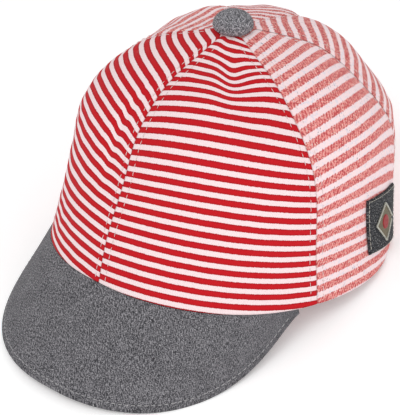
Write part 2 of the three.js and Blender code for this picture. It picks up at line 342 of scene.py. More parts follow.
def peak_length(side):
    outline = (1 - np.abs(side) ** PEAK_ROUNDNESS) ** PEAK_FULLNESS
    return PEAK_END_LENGTH + (PEAK_LENGTH - PEAK_END_LENGTH) * outline


def peak_top(side, distance):
    """The top of the peak: side runs from -1 at the wearer's right end to 1 at the left one."""
    side, distance = np.broadcast_arrays(np.asarray(side, float), np.asarray(distance, float))
    heading = np.radians(PEAK_SPREAD * side)
    slope = np.radians(PEAK_SLOPE + (PEAK_END_SLOPE - PEAK_SLOPE) * side**2)
    run = np.stack([np.cos(slope) * np.sin(heading), -np.cos(slope) * np.cos(heading), -np.sin(slope)], -1)
    rim = crown_point(side * PEAK_HALF_ANGLE, 0)
    wall_run = unit(rim - crown_point(side * PEAK_HALF_ANGLE, WALL_RUN_STEP))
    return rim + wall_run * CLEARANCE + run * distance[..., None]


def peak_normal(side, distance):
    return -normal_of(peak_top, side, distance, PEAK_SIDE_STEP, PEAK_RUN_STEP)


def smoothstep(value, low, high):
    """From 0 at the low value to 1 at the high one, level at both."""
    share = np.clip((value - low) / (high - low), 0, 1)
    return share * share * (3 - 2 * share)


# Divisions of the peak's grid, and the groove that its row of stitches lies in
PEAK_COLUMNS = 200
PEAK_ROWS = 40
PEAK_EDGE_STEPS = 10
PEAK_STITCH_INSET = 3.2
PEAK_GROOVE = 0.22
PEAK_GROOVE_REACH = 0.7


def peak_rings():
    """Rings round the peak's section: out along the top, round the edge and back along the underside."""
    side = np.sin(np.linspace(-1, 1, PEAK_COLUMNS + 1) * np.pi / 2)[:, None]
    length = peak_length(side)
    thickest = WALL + (PEAK_THICKNESS - WALL) * np.sqrt(length / PEAK_LENGTH)
    wall_normal = crown_normal(side * PEAK_HALF_ANGLE, 0 * side)

    def through(distance):
        share = smoothstep(distance, 0, np.minimum(PEAK_SEAM_TAPER, length))
        share = share[..., None]
        direction = unit(peak_normal(side, distance) * share + wall_normal * (1 - share))
        return direction * (WALL + (thickest[..., None] - WALL) * share)

    flat = length - thickest / 2
    distance = flat * np.linspace(0, 1, PEAK_ROWS + 1)[None, :]
    groove = PEAK_GROOVE * np.exp(-(((length - distance - PEAK_STITCH_INSET) / PEAK_GROOVE_REACH) ** 2))
    thickness = through(distance)
    top = peak_top(side, distance) - unit(thickness) * groove[..., None]
    under = peak_top(side, distance) - thickness + unit(thickness) * groove[..., None]
    half = through(flat) / 2
    centre = peak_top(side, flat) - half
    outwards = peak_top(side, length) - peak_top(side, flat)
    turn = (np.pi * np.arange(1, PEAK_EDGE_STEPS) / PEAK_EDGE_STEPS)[None, :, None]
    edge = centre + outwards * np.sin(turn) + half * np.cos(turn)
    return np.concatenate([top, edge, under[:, ::-1]], 1)


def panel_place(panel, across, up_share):
    """The angle and the way up of a place on a panel, short of its seams by half the gap."""
    width_angle = panel["to"] - panel["from"]
    guess = panel["from"] + across * width_angle
    up = up_share * up_at_radius(guess, STEM_RADIUS + CLEARANCE)
    around = smooth_crown(guess, up)
    margin = np.degrees(SEAM_GAP / 2 / np.hypot(around[..., 0], around[..., 1]))
    return panel["from"] + margin + across * (width_angle - 2 * margin), up


def arc_lengths(points, axis):
    """How far each point lies from the first, along one axis of a grid of points."""
    steps = np.linalg.norm(np.diff(points, axis=axis), axis=-1)
    zero = np.zeros_like(np.take(steps, [0], axis))
    return np.concatenate([zero, np.cumsum(steps, axis)], axis)


def share_grid(columns, rows):
    """The places of a grid's points, as shares of its width and height."""
    return np.meshgrid(np.linspace(0, 1, columns + 1), np.linspace(0, 1, rows + 1), indexing="ij")


def crease_depth(angle, up):
    depth = 0
    for crease in CREASES:
        depth = depth + crease["depth"] * np.exp(-away_from(crease, angle, up))
    return depth


def stripe_number(panel, length, angle, up):
    """Which stripe a place lies on: whole numbers are the middles of the red stripes."""
    cut = CUTS[panel["cut"]]
    across = panel["turn"] * (2 * (angle - panel["from"]) / (panel["to"] - panel["from"]) - 1)
    bow, tilt, ease = (spline(cut["rows"], column)(up) for column in ("bow", "tilt", "ease"))
    place = length + bow * across**2 + tilt * across + ease + crease_depth(angle, up)
    if "swing" in cut["rows"][0]:
        beyond = np.clip(SWING_START - across, 0, None)
        place = place + spline(cut["rows"], "swing")(up) * beyond**2
    return (place - cut["start"]) / cut["period"]


random = np.random.default_rng(WAVE_SEED)
wave_length = random.uniform(WAVE_SHORTEST, WAVE_LONGEST, WAVE_COUNT)
wave_heading = random.uniform(0, np.pi, WAVE_COUNT)
wave_start = random.uniform(0, 2 * np.pi, (len(PANELS), WAVE_COUNT))


def ripple(number, x, y, to_seam):
    """How far the cloth of a numbered panel stands out at a place on it, because it isn't quite smooth."""
    waves = 0
    for length, heading, start in zip(wave_length, wave_heading, wave_start[number]):
        waves = waves + np.cos(2 * np.pi * (x * np.cos(heading) + y * np.sin(heading)) / length + start)
    inside = smoothstep(np.minimum(np.minimum(to_seam, y), y[:, -1:] - y), 0, WAVE_FADE)
    puckers = np.cos(2 * np.pi * y / PUCKER_LENGTH + np.cos(y / WAVE_SHORTEST + number))
    near_seam = np.exp(-(((to_seam - PUCKER_MIDDLE) / PUCKER_REACH) ** 2))
    near_seam = near_seam * smoothstep(y[:, -1:] - y, PUCKER_STOP, PUCKER_FULL)
    return WAVE_HEIGHT * inside * waves / np.sqrt(WAVE_COUNT) + PUCKER_HEIGHT * near_seam * puckers


def panel_sheets(number, panel):
    """A panel's outer and inner sheet, and for each point its place in the cloth and way to the seam."""
    angle, up = panel_place(panel, *share_grid(PANEL_COLUMNS, PANEL_ROWS))
    plain = crown_point(angle, up)
    width = arc_lengths(plain, 0)
    length = arc_lengths(plain, 1)
    to_seam = np.minimum(width, width[-1:] - width)
    x = width - width[-1:] / 2
    sink = SEAM_ROLL * np.exp(-((to_seam / SEAM_ROLL_REACH) ** 2)) + CREASE_SINK * crease_depth(angle, up)
    outer = crown_point(angle, up, ripple(number, x, length, to_seam) - sink)
    place = np.stack([x * panel["turn"], stripe_number(panel, length, angle, up), length], -1)
    return outer, crown_point(angle, up, -WALL), place, to_seam


# The rest pose: the cap tips back until the peak and the rim touch the table together

STEEPEST_TIP = np.pi / 4
RIM_POINTS = 721


def tipped(points, pitch):
    """Points turned about the line across the cap, by an angle that raises the peak."""
    y = points[..., 1] * np.cos(pitch) + points[..., 2] * np.sin(pitch)
    z = points[..., 2] * np.cos(pitch) - points[..., 1] * np.sin(pitch)
    return np.stack([points[..., 0], y, z], -1)


def rest_pitch(peak_points, rim_points):
    """The angle at which the peak's lowest point and the rim's are level."""
    low, high = 0.0, STEEPEST_TIP
    for _ in range(HALVINGS):
        middle = (low + high) / 2
        if tipped(peak_points, middle)[..., 2].min() < tipped(rim_points, middle)[..., 2].min():
            low = middle
        else:
            high = middle
    return (low + high) / 2


peak_points = peak_rings()
rim_angles = np.linspace(-180, 180, RIM_POINTS)
rim_points = crown_point(rim_angles, 0.0)
pitch = rest_pitch(peak_points, np.concatenate([rim_points, crown_point(rim_angles, 0.0, -WALL)]))
front_of_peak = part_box("peak")[0][1] / MM
lowest = min(tipped(peak_points, pitch)[..., 2].min(), tipped(rim_points, pitch)[..., 2].min())
shift = np.array([0, front_of_peak - tipped(peak_points, pitch)[..., 1].min(), -lowest - REST_PRESS])


def at_rest(points):
    """Points of the level cap, in millimetres, moved to where they rest on the table, in metres."""
    moved = tipped(np.asarray(points, float), pitch) + shift
    moved[..., 2] = np.maximum(moved[..., 2], 0)
    return moved * MM


def mesh_piece(name, points, faces, material, replaced=()):
    """A mesh on the cap's one body with its material slot, in place of the solids that it replaces."""
    mesh = bpy.data.meshes.new(name)
    mesh.from_pydata(np.asarray(points).reshape(-1, 3).tolist(), [], faces)
    mesh.materials.append(material)
    mesh.polygons.foreach_set("use_smooth", [True] * len(mesh.polygons))
    mesh.update()
    piece = bpy.data.objects.new(name, mesh)
    bpy.context.scene.collection.objects.link(piece)
    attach(piece, "root")
    if replaced:
        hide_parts(*replaced)
    return piece


def grid_faces(columns, rows, start=0, flip=False):
    faces = []
    stride = rows + 1
    for i in range(columns):
        for j in range(rows):
            a = start + i * stride + j
            face = (a, a + stride, a + stride + 1, a + 1)
            faces.append(face[::-1] if flip else face)
    return faces


def edge_strip(first, second):
    return [(first[i], first[i + 1], second[i + 1], second[i]) for i in range(len(first) - 1)]


def sheet_faces(columns, rows):
    """Faces of a closed shell between an outer and an inner sheet of the same grid."""
    stride = rows + 1
    layer = (columns + 1) * stride
    faces = grid_faces(columns, rows) + grid_faces(columns, rows, layer, True)
    bottom = [i * stride for i in range(columns + 1)]
    top = [i * stride + rows for i in range(columns + 1)]
    left = list(range(stride))
    right = [columns * stride + j for j in range(stride)]
    faces += edge_strip([v + layer for v in bottom], bottom) + edge_strip(top, [v + layer for v in top])
    faces += edge_strip(left, [v + layer for v in left]) + edge_strip([v + layer for v in right], right)
    return faces


def ring_faces(rings, size):
    """Faces of a closed body made of rings, which have the same number of points each."""
    faces = []
    for i in range(rings - 1):
        for j in range(size):
            following = (j + 1) % size
            faces.append((i * size + j, i * size + following, (i + 1) * size + following, (i + 1) * size + j))
    faces.append(tuple(range(size))[::-1])
    faces.append(tuple((rings - 1) * size + j for j in range(size)))
    return faces


def add_place(mesh, values):
    """Keeps each vertex's place in the cloth for its material."""
    layer = mesh.attributes.new("cloth", "FLOAT_VECTOR", "POINT")
    layer.data.foreach_set("vector", np.asarray(values, np.float32).reshape(-1))


def add_seam(mesh, values):
    """Keeps how far each vertex lies from a seam or an edge, in millimetres, for the painted shade in its
    material.
    """
    layer = mesh.attributes.new("seam", "FLOAT", "POINT")
    layer.data.foreach_set("value", np.asarray(values, np.float32).reshape(-1))


# Materials

SHEEN_ROUGHNESS = 0.5
CLOTH_SPECULAR = 0.15


class Nodes:
    """Short names for adding shader nodes to one material."""

    def __init__(self, name, roughness, sheen=0.0):
        self.material = bpy.data.materials.new(name)
        self.material.use_nodes = True
        self.tree = self.material.node_tree
        self.shader = self.tree.nodes["Principled BSDF"]
        self.shader.inputs["Roughness"].default_value = roughness
        self.shader.inputs["Sheen Weight"].default_value = sheen
        self.shader.inputs["Sheen Roughness"].default_value = SHEEN_ROUGHNESS
        self.shader.inputs["Specular IOR Level"].default_value = CLOTH_SPECULAR

    def feed(self, socket, value):
        if hasattr(value, "links"):
            self.tree.links.new(value, socket)
        elif hasattr(socket.default_value, "__len__") and not hasattr(value, "__len__"):
            socket.default_value = [value] * len(socket.default_value)
        else:
            socket.default_value = value

    def math(self, operation, *values):
        node = self.tree.nodes.new("ShaderNodeMath")
        node.operation = operation
        for socket, value in zip(node.inputs, values):
            self.feed(socket, value)
        return node.outputs[0]

    def sum(self, *values):
        total = values[0]
        for value in values[1:]:
            total = self.math("ADD", total, value)
        return total

    def scaled(self, value, factor):
        return self.math("MULTIPLY", value, factor)

    def wave(self, phase):
        """A wave from -1 to 1 that is at its height where the phase is whole."""
        return self.math("COSINE", self.scaled(phase, 2 * np.pi))

    def place(self, x, y):
        node = self.tree.nodes.new("ShaderNodeCombineXYZ")
        self.feed(node.inputs["X"], x)
        self.feed(node.inputs["Y"], y)
        return node.outputs[0]

    def turned(self, vector, degrees, scale):
        node = self.tree.nodes.new("ShaderNodeMapping")
        node.vector_type = "TEXTURE"
        self.feed(node.inputs["Vector"], vector)
        node.inputs["Rotation"].default_value = (0, 0, np.radians(degrees))
        node.inputs["Scale"].default_value = scale
        return node.outputs[0]

    def attribute(self, name, output="Vector"):
        node = self.tree.nodes.new("ShaderNodeAttribute")
        node.attribute_name = name
        return node.outputs[output]

    def parts(self, vector):
        node = self.tree.nodes.new("ShaderNodeSeparateXYZ")
        self.feed(node.inputs[0], vector)
        return node.outputs

    def noise(self, vector, size, detail=1.0):
        """Noise from -0.5 to 0.5 with grains of a size in the vector's own unit."""
        node = self.tree.nodes.new("ShaderNodeTexNoise")
        self.feed(node.inputs["Vector"], vector)
        node.inputs["Scale"].default_value = 1 / size
        node.inputs["Detail"].default_value = detail
        return self.math("SUBTRACT", node.outputs[0], 0.5)

    def threads(self, vector, degrees, length, width):
        """Noise drawn out into short threads that run at an angle to the cloth's width."""
        return self.noise(self.turned(vector, degrees, (length, width, 1)), size=1.0)

    def spots(self, vector, size):
        """Spots in the cloth: 1 in them and 0 between them."""
        return self.ramp(self.noise(vector, size), low=0.12, high=0.18)

    def ramp(self, value, low, high, start=0.0, end=1.0):
        node = self.tree.nodes.new("ShaderNodeMapRange")
        node.interpolation_type = "SMOOTHSTEP"
        given = {"Value": value, "From Min": low, "From Max": high, "To Min": start, "To Max": end}
        for name, amount in given.items():
            self.feed(node.inputs[name], amount)
        return node.outputs[0]

    def mix(self, factor, first, second):
        node = self.tree.nodes.new("ShaderNodeMix")
        node.data_type = "RGBA"
        self.feed(node.inputs["Factor"], factor)
        for name, colour in (("A", first), ("B", second)):
            socket = [s for s in node.inputs if s.name == name and s.type == "RGBA"][0]
            self.feed(socket, colour if hasattr(colour, "links") else (*colour, 1.0))
        return [s for s in node.outputs if s.type == "RGBA"][0]

    def shaded(self, colour, share):
        node = self.tree.nodes.new("ShaderNodeVectorMath")
        node.operation = "SCALE"
        self.feed(node.inputs[0], colour)
        self.feed(node.inputs["Scale"], share)
        return node.outputs[0]

    def bump(self, height, distance, strength):
        node = self.tree.nodes.new("ShaderNodeBump")
        node.inputs["Strength"].default_value = strength
        node.inputs["Distance"].default_value = distance
        self.feed(node.inputs["Height"], height)
        self.feed(self.shader.inputs["Normal"], node.outputs[0])

    def colour(self, value):
        self.feed(self.shader.inputs["Base Color"], value)


RED = (0.58, 0.0095, 0.016)
DEEP_RED = (0.44, 0.008, 0.015)
WHITE = (0.95, 0.77, 0.785)
FLECK_RED = (0.58, 0.09, 0.095)
FLECK_ROSE = (0.84, 0.34, 0.31)
FLECK_DARK = (0.36, 0.06, 0.07)
FLECK_BEIGE = (0.88, 0.64, 0.56)
FLECK_WHITE = (0.95, 0.755, 0.77)
FLECK_COOL = (0.78, 0.71, 0.78)
FLECK_GREY = (0.25, 0.22, 0.25)
CHAMBRAY_DARK = (0.036, 0.036, 0.041)
CHAMBRAY_MID = (0.128, 0.125, 0.136)
CHAMBRAY_PALE = (0.32, 0.31, 0.33)
CHAMBRAY_SPECK = (0.6, 0.59, 0.6)
LABEL_DARK = (0.01, 0.0105, 0.0125)
LABEL_MID = (0.06, 0.062, 0.07)
LABEL_SPECK = (0.4, 0.4, 0.4)
THREAD_WHITE = (0.92, 0.76, 0.74)
THREAD_GREY = (0.45, 0.44, 0.45)
THREAD_PALE = (0.62, 0.61, 0.54)
KHAKI = (0.17, 0.14, 0.085)
MOTIF_RED = (0.36, 0.03, 0.035)

# Painted shade at the seams and along the peak's edge, and how much darker the back panels' red stripes are
PAINTED_SEAM_SHADE = 0.86
PAINTED_SHADE_START = 0.1
PAINTED_SHADE_REACH = 0.7
BACK_PAINTED_SEAM_SHADE = 0.38
BACK_DYE = 0.93
PEAK_EDGE_PAINTED_SHADE = 0.86
THREAD_SHADE = 0.65

# Columns of loops in the knit, and how they step, fray and widen the red stripes
WALE = 1.0
WALE_HEIGHT = 0.25
STRIPE_STEP = 0.05
STRIPE_FRAY = 0.5
STRIPE_WIDENING = 0.16

# Leaning dashes and mottles in the flecked cloth
FLECK_PITCH = 1.45
FLECK_LEAN = 0.55
DASH_WANDER = 0.9
DASH_MOTTLE = 0.45
FINE_MOTTLE = 3.2
COARSE_MOTTLE = 2.0
COOL_SHARE = 0.8
GREY_FRAY = 2.5
FLECK_DASH_STEP = 0.12
FLECK_FRAY = 1.1
FLECK_WIDENING = 0.17

# The button's cloth is paler and finer than the peak's, and both are a little cloudy
BUTTON_LIGHTNESS = 1.38
BUTTON_FINENESS = 1.4
CLOUD_SHARE = 0.15


def paint_seam_shade(nodes, colour, shade=PAINTED_SEAM_SHADE):
    """Paints shade on the cloth where it turns down into a seam."""
    to_seam = nodes.attribute("seam", "Fac")
    return nodes.shaded(colour, nodes.ramp(to_seam, PAINTED_SHADE_START, PAINTED_SHADE_REACH, shade))


def knit_bump(nodes, across, grain):
    """Fine columns of knitted loops."""
    loops = nodes.scaled(nodes.wave(nodes.scaled(across, 1 / WALE)), WALE_HEIGHT)
    nodes.bump(nodes.sum(loops, grain), distance=0.0003, strength=0.5)


def striped_jersey():
    """The front panels' cloth, in clear red and white stripes."""
    nodes = Nodes("striped_jersey", roughness=0.9, sheen=0.03)
    across, stripe, along = nodes.parts(nodes.attribute("cloth"))
    place = nodes.place(across, along)
    grain = nodes.noise(place, size=0.7)
    steps = nodes.scaled(nodes.wave(nodes.scaled(across, 1 / WALE)), STRIPE_STEP)
    fray = nodes.scaled(nodes.noise(place, size=1.1), STRIPE_FRAY)
    edge = nodes.sum(nodes.wave(stripe), fray, steps, STRIPE_WIDENING)
    depth = nodes.ramp(nodes.sum(nodes.wave(stripe), grain), low=0.1, high=0.9)
    colour = nodes.mix(nodes.ramp(edge, low=-0.12, high=0.12), WHITE, nodes.mix(depth, DEEP_RED, RED))
    uneven = nodes.ramp(nodes.noise(place, size=0.6, detail=2.0), low=-0.3, high=0.3, start=0.93, end=1.04)
    # The colour takes painted shade where the cloth turns down into the seams
    nodes.colour(paint_seam_shade(nodes, nodes.shaded(colour, uneven)))
    knit_bump(nodes, across, grain)
    return nodes.material


def flecked_jersey(name, dye=1.0, shade=PAINTED_SEAM_SHADE):
    """The cloth behind the front panels: mottled, dashed red stripes and lightly flecked white ones.

    A dye below 1 darkens the red stripes, and the shade sets how dark the painted shade at the cut's first
    seam is.
    """
    nodes = Nodes(name, roughness=0.9, sheen=0.03)
    across, stripe, along = nodes.parts(nodes.attribute("cloth"))
    place = nodes.place(across, along)
    lean = nodes.sum(nodes.scaled(across, 1 / FLECK_PITCH), nodes.scaled(along, -FLECK_LEAN / FLECK_PITCH))
    dash = nodes.wave(nodes.sum(lean, nodes.scaled(nodes.noise(place, size=2.5), DASH_WANDER)))
    fine = nodes.scaled(nodes.noise(place, size=1.1), FINE_MOTTLE)
    coarse = nodes.scaled(nodes.noise(place, size=2.4), COARSE_MOTTLE)
    mottle = nodes.sum(nodes.scaled(dash, DASH_MOTTLE), fine, coarse)
    band = nodes.mix(nodes.ramp(mottle, low=-0.6, high=0.6), FLECK_ROSE, FLECK_RED)
    band = nodes.mix(nodes.spots(place, size=0.95), band, FLECK_DARK)
    band = nodes.mix(nodes.spots(place, size=0.8), band, FLECK_BEIGE)
    cool = nodes.scaled(nodes.ramp(nodes.noise(place, size=1.6), low=0.0, high=0.2), COOL_SHARE)
    fleck = nodes.sum(dash, nodes.scaled(nodes.noise(place, size=0.9), GREY_FRAY))
    patches = nodes.ramp(nodes.noise(place, size=6.0), low=0.05, high=0.15)
    grey = nodes.math("MULTIPLY", patches, nodes.ramp(fleck, low=0.9, high=1.3))
    pale = nodes.mix(grey, nodes.mix(cool, FLECK_WHITE, FLECK_COOL), FLECK_GREY)
    fray = nodes.scaled(nodes.noise(place, size=0.95), FLECK_FRAY)
    edge = nodes.sum(nodes.wave(stripe), nodes.scaled(dash, FLECK_DASH_STEP), fray, FLECK_WIDENING)
    colour = nodes.mix(nodes.ramp(edge, low=-0.25, high=0.25), pale, nodes.shaded(band, dye))
    # Painted shade at the seams: the cut's first seam takes the given amount, the other seam the usual one
    seam = nodes.ramp(across, low=-4, high=4, start=shade, end=PAINTED_SEAM_SHADE)
    nodes.colour(paint_seam_shade(nodes, colour, seam))
    knit_bump(nodes, across, nodes.noise(place, size=0.7))
    return nodes.material


def chambray(name, lightness=1.0, fineness=1.0):
    """Grey cloth woven from dark and pale threads, with painted shade on the band between the peak's edge and
    its stitches.
    """
    nodes = Nodes(name, roughness=0.88, sheen=0.05)
    place = nodes.shaded(nodes.attribute("cloth"), fineness)
    weft = nodes.threads(place, degrees=-42, length=1.5, width=0.36)
    warp = nodes.threads(place, degrees=48, length=0.8, width=0.36)
    cloud = nodes.noise(place, size=9, detail=2.0)
    weave = nodes.sum(weft, warp, nodes.scaled(cloud, CLOUD_SHARE))
    base = nodes.mix(nodes.ramp(weave, low=-0.15, high=0.0), CHAMBRAY_DARK, CHAMBRAY_MID)
    base = nodes.mix(nodes.ramp(weave, low=0.04, high=0.16), base, CHAMBRAY_PALE)
    speck = nodes.threads(place, degrees=20, length=0.8, width=0.5)
    cloth = nodes.mix(nodes.ramp(speck, low=0.17, high=0.25), base, CHAMBRAY_SPECK)
    # Painted shade on the band between the peak's edge and its row of stitches
    from_edge = nodes.attribute("seam", "Fac")
    hem_painted_shade = nodes.ramp(from_edge, PEAK_STITCH_INSET - 0.5, PEAK_STITCH_INSET + 0.3, PEAK_EDGE_PAINTED_SHADE)
    nodes.colour(nodes.shaded(nodes.shaded(cloth, lightness), hem_painted_shade))
    nodes.bump(weave, distance=0.0004, strength=0.6)
    return nodes.material


def label_cloth():
    """Nearly black cloth with a few pale threads."""
    nodes = Nodes("label_cloth", roughness=0.88, sheen=0.03)
    place = nodes.attribute("cloth")
    weft = nodes.threads(place, degrees=35, length=1.4, width=0.5)
    warp = nodes.threads(place, degrees=-50, length=1.1, width=0.5)
    weave = nodes.sum(weft, warp)
    base = nodes.mix(nodes.ramp(weave, low=-0.2, high=0.25), LABEL_DARK, LABEL_MID)
    speck = nodes.threads(place, degrees=35, length=0.9, width=0.5)
    nodes.colour(nodes.mix(nodes.ramp(speck, low=0.12, high=0.2), base, LABEL_SPECK))
    nodes.bump(weave, distance=0.0003, strength=0.6)
    return nodes.material


def thread(name, colour):
    """Embroidery or sewing thread, with its strands a little lighter and darker."""
    nodes = Nodes(name, roughness=0.6, sheen=0.1)
    coordinates = nodes.tree.nodes.new("ShaderNodeTexCoord").outputs["Object"]
    strands = nodes.noise(coordinates, size=0.0006)
    dark = tuple(THREAD_SHADE * channel for channel in colour)
    nodes.colour(nodes.mix(nodes.ramp(strands, low=-0.2, high=0.15), dark, colour))
    nodes.bump(strands, distance=0.0002, strength=0.5)
    return nodes.material


materials = {
    "striped_jersey": striped_jersey(),
    "flecked_jersey": flecked_jersey("flecked_jersey"),
    # The back panels' copy has darker red stripes and a deeper painted shade line at the side/back seam
    "back_jersey": flecked_jersey("back_jersey", BACK_DYE, BACK_PAINTED_SEAM_SHADE),
    "chambray": chambray("chambray"),
    "button_chambray": chambray("button_chambray", BUTTON_LIGHTNESS, BUTTON_FINENESS),
    "label_cloth": label_cloth(),
    "white_thread": thread("white_thread", THREAD_WHITE),
    "grey_thread": thread("grey_thread", THREAD_GREY),
    "pale_thread": thread("pale_thread", THREAD_PALE),
    "khaki_thread": thread("khaki_thread", KHAKI),
    "red_thread": thread("red_thread", MOTIF_RED),
}

# Crown


def add_panel(number, panel):
    cut = CUTS[panel["cut"]]
    outer, inner, place, to_seam = panel_sheets(number, panel)
    piece = mesh_piece(
        f"{panel['name']}_cloth",
        np.concatenate([at_rest(outer).reshape(-1, 3), at_rest(inner).reshape(-1, 3)]),
        sheet_faces(PANEL_COLUMNS, PANEL_ROWS),
        materials[cut["cloth"]],
        [panel["name"]],
    )
    add_place(piece.data, np.concatenate([place.reshape(-1, 3)] * 2))
    add_seam(piece.data, np.concatenate([to_seam.reshape(-1)] * 2))


for number, panel in enumerate(PANELS):
    add_panel(number, panel)

# Peak

# The peak slopes down, so its cloth is longer than its reach forwards
PEAK_FALL = 1.5


def add_peak():
    faces = ring_faces(*peak_points.shape[:2])
    material = materials["chambray"]
    peak = mesh_piece("peak_cloth", at_rest(peak_points), faces, material, ["peak"])
    width = arc_lengths(peak_points, 0)
    girth = arc_lengths(peak_points, 1)
    add_place(peak.data, np.stack([width - width[-1:] / 2, peak_points[..., 1] * PEAK_FALL, 0 * width], -1))
    # How far round from the peak's edge each point lies, for its painted edge shade
    add_seam(peak.data, np.abs(girth - girth[:, -1:] / 2))


add_peak()

# Button

BUTTON_SIDES = 72
BUTTON_STEPS = 14
BUTTON_FOOT_STEPS = 5
BUTTON_FOOT_RADIUS = BUTTON_RADIUS / 2


def button_rings():
    """Rings from under the button out round its foot and up over its dome, all following the crown."""
    angle = 360 * np.arange(BUTTON_SIDES) / BUTTON_SIDES - 180

    def ring(radius, lift):
        return crown_point(angle, up_at_radius(angle, radius), CLEARANCE + lift)

    half = BUTTON_EDGE / 2
    rings = [ring(BUTTON_FOOT_RADIUS, 0)]
    for turn in np.linspace(0, np.pi / 2, BUTTON_FOOT_STEPS, endpoint=False):
        rings.append(ring(BUTTON_RADIUS - half * (1 - np.sin(turn)), half * (1 - np.cos(turn))))
    for turn in np.linspace(0, np.pi / 2, BUTTON_STEPS, endpoint=False):
        rings.append(ring(BUTTON_RADIUS * np.cos(turn), half + (BUTTON_HEIGHT - half) * np.sin(turn)))
    return np.array(rings)


def add_button():
    points = button_rings()
    faces = ring_faces(len(points), BUTTON_SIDES)
    material = materials["button_chambray"]
    button = mesh_piece("top_button_cover", at_rest(points), faces, material, ["top_button"])
    add_place(button.data, points)
    # The button lies far from any edge, so it takes none of the painted edge shade
    add_seam(button.data, np.full(points.shape[:2], BUTTON_RADIUS))


add_button()

# Label

LABEL_COLUMNS = 64
LABEL_ROWS = 52
LABEL_EDGE = 0.7
LABEL_EDGE_SHARE = 0.45
LABEL_TOP = CLEARANCE + LABEL_THICKNESS
label_corner = crown_point(LABEL_START, 0.0)
label_angle = float(np.degrees(LABEL_WIDTH / np.hypot(label_corner[0], label_corner[1])))
label_fall = LABEL_WIDTH * np.tan(np.radians(LABEL_SLANT))


def label_point(across, share, lift):
    """A place on the label, given as shares of its width and height, and lifted off the crown."""
    across, share = np.broadcast_arrays(np.asarray(across, float), np.asarray(share, float))
    angle = LABEL_START + across * label_angle
    height = label_corner[2] + LABEL_ABOVE_RIM + share * LABEL_HEIGHT - across * label_fall
    return crown_point(angle, up_at_height(angle, height), lift)


def add_label():
    across, share = share_grid(LABEL_COLUMNS, LABEL_ROWS)
    from_sides = np.minimum(across, 1 - across) * LABEL_WIDTH
    from_edge = np.minimum(from_sides, np.minimum(share, 1 - share) * LABEL_HEIGHT)
    thickness = LABEL_EDGE_SHARE + (1 - LABEL_EDGE_SHARE) * smoothstep(from_edge, 0, LABEL_EDGE)
    outer = label_point(across, share, CLEARANCE + LABEL_THICKNESS * thickness)
    inner = label_point(across, share, CLEARANCE)
    label = mesh_piece(
        "side_label_cloth",
        at_rest(np.concatenate([outer.reshape(-1, 3), inner.reshape(-1, 3)])),
        sheet_faces(LABEL_COLUMNS, LABEL_ROWS),
        materials["label_cloth"],
        ["side_label"],
    )
    place = np.stack([across * LABEL_WIDTH, share * LABEL_HEIGHT, 0 * share], -1)
    add_place(label.data, np.concatenate([place.reshape(-1, 3)] * 2))


add_label()

# The label's motif: an embroidered lozenge with a disc in it

MOTIF_ACROSS = 0.5
MOTIF_UP = 0.47
MOTIF_STEPS = 64
MOTIF_LIFT = 0.35
MOTIF_SUNK = 0.1
MOTIF_RIM_SHARE = 0.4
MOTIF_RINGS = (1, 0.93, 0.75, 0.5, 0.25, 0.05)
LOZENGE_HALF_WIDTH = 9.5
LOZENGE_HALF_HEIGHT = 9
DISC_RADIUS = 3.4


def lozenge(turn):
    return 1 / (np.abs(np.cos(turn)) + np.abs(np.sin(turn)))


def disc(turn):
    return np.ones_like(turn)


def motif_places(shape, half_width, half_height, share):
    """Places round a shape drawn at a share of its size, as shares of the label's width and height."""
    turn = 2 * np.pi * np.arange(MOTIF_STEPS) / MOTIF_STEPS
    across = MOTIF_ACROSS + share * shape(turn) * half_width * np.cos(turn) / LABEL_WIDTH
    return across, MOTIF_UP + share * shape(turn) * half_height * np.sin(turn) / LABEL_HEIGHT


def add_patch(name, shape, half_width, half_height, lift, material):
    """A raised patch of embroidery on the label, with rings from its rim to its middle."""
    rings = [label_point(*motif_places(shape, half_width, half_height, 1), LABEL_TOP - MOTIF_SUNK)]
    for share in MOTIF_RINGS:
        rise = lift * MOTIF_RIM_SHARE if share == 1 else lift
        rings.append(label_point(*motif_places(shape, half_width, half_height, share), LABEL_TOP + rise))
    mesh_piece(name, at_rest(np.array(rings)), ring_faces(len(rings), MOTIF_STEPS), material)


def add_motif():
    khaki, red = materials["khaki_thread"], materials["red_thread"]
    add_patch("label_lozenge", lozenge, LOZENGE_HALF_WIDTH, LOZENGE_HALF_HEIGHT, MOTIF_LIFT, khaki)
    add_patch("label_disc", disc, DISC_RADIUS, DISC_RADIUS, 2 * MOTIF_LIFT, red)


add_motif()

# Stitches: each is a small spindle laid along its row

STITCH_SIDES = 6
STITCH_PROFILE = [
    {"forward": -0.5, "girth": 0.15, "lift": -0.6},
    {"forward": -0.34, "girth": 0.8, "lift": 0},
    {"forward": 0, "girth": 1, "lift": 0.35},
    {"forward": 0.34, "girth": 0.8, "lift": 0},
    {"forward": 0.5, "girth": 0.15, "lift": -0.6},
]

CROWN_STITCH = {"length": 2.3, "spacing": 3.5, "thickness": 0.3, "lift": 0.12}
PEAK_STITCH = {"length": 2.3, "spacing": 2.9, "thickness": 0.42, "lift": 0.08}
BORDER_STITCH = {"length": 1.9, "spacing": 2.2, "thickness": 0.26, "lift": 0.08}
SATIN_STITCH = {"length": 1.1, "spacing": 0.8, "thickness": 0.75, "lift": 0.08}

# Rows of stitches beside each seam, with their offsets round from it in millimetres
STITCH_ROWS = [
    {"seam": 0, "offsets": (4.4, -2.3)},
    {"seam": SIDE_SEAM, "offsets": (-3.2, 3)},
    {"seam": -SIDE_SEAM, "offsets": (-3, 3.2)},
    {"seam": BACK_SEAM, "offsets": (-3, 3)},
    {"seam": -BACK_SEAM, "offsets": (-3, 3)},
    {"seam": 180, "offsets": (-3, 3)},
]
SEAM_ROW_START = 0.01
SEAM_ROW_END = 0.93
SEAM_ROW_POINTS = 160

PEAK_ROW_SIDE = 0.985
PEAK_ROW_START = 1
PEAK_ROW_POINTS = 400

